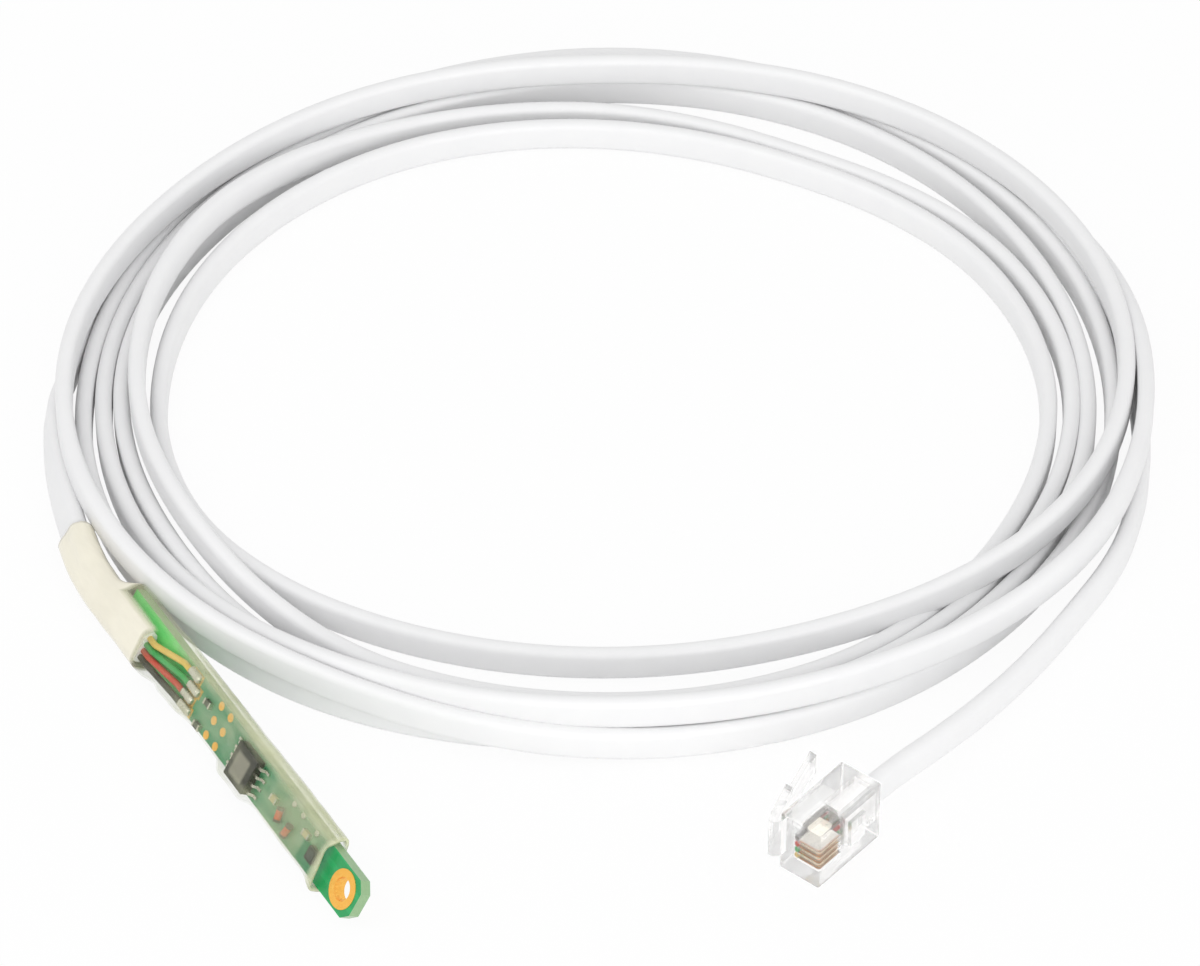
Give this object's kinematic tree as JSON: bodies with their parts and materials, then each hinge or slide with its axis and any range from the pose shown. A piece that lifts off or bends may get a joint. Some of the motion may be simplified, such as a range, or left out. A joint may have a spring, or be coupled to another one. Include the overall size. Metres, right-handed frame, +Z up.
{
  "type": "light sensor",
  "caption": "Strip light sensor: small circuit board in a clear shrink sleeve, on a coiled flat white four-wire cord with a clear modular plug.",
  "frame": {"origin": "middle of the sensor head's box on the surface it lies on, without the free cord and its plug", "axes": "+Z up, Y along the head with its mounting hole towards -Y, X across it towards the coil"},
  "size_m": [0.1642, 0.1785, 0.0097],
  "materials": {
    "board_green": "green solder mask",
    "gold_plating": "gold plate",
    "clear_sleeve": "clear, slightly yellow, satin",
    "cord_jacket": "white, satin",
    "wire_yellow": "yellow insulation",
    "wire_green": "green insulation",
    "wire_red": "red insulation",
    "wire_black": "black insulation",
    "solder": "bright tin",
    "chip_black": "dark epoxy",
    "chip_grey": "dark grey epoxy",
    "sensor_glass": "dark clear window",
    "ceramic_tan": "tan ceramic",
    "diode_glass": "orange glass",
    "clear_plug": "clear polycarbonate"
  },
  "bodies": {
    "root": {"circuit_board": "board_green", "hole_plating": "gold_plating", "shrink_sleeve": "clear_sleeve", "cord_jacket_end": "cord_jacket", "wire_yellow": "wire_yellow", "wire_green": "wire_green", "wire_red": "wire_red", "wire_black": "wire_black", "solder_joints": "solder", "landing_pads": "gold_plating", "test_pads": "gold_plating", "chip_body": "chip_black", "chip_legs": "solder", "light_sensor_chip": "chip_grey", "sensor_window": "sensor_glass", "chip_capacitors": "ceramic_tan", "chip_resistors": "chip_grey", "component_terminals": "solder", "diode_bodies": "diode_glass", "diode_caps": "chip_black", "solder_dots": "solder", "plug_housing": "clear_plug", "plug_jacket_end": "cord_jacket", "plug_wire_yellow": "wire_yellow", "plug_wire_green": "wire_green", "plug_wire_red": "wire_red", "plug_wire_black": "wire_black", "cord_coil": "cord_jacket", "cord_lead_sensor": "cord_jacket", "cord_lead_plug": "cord_jacket", "contact_blade_1": "gold_plating", "contact_blade_2": "gold_plating", "contact_blade_3": "gold_plating", "contact_blade_4": "gold_plating"}
  },
  "joints": []
}
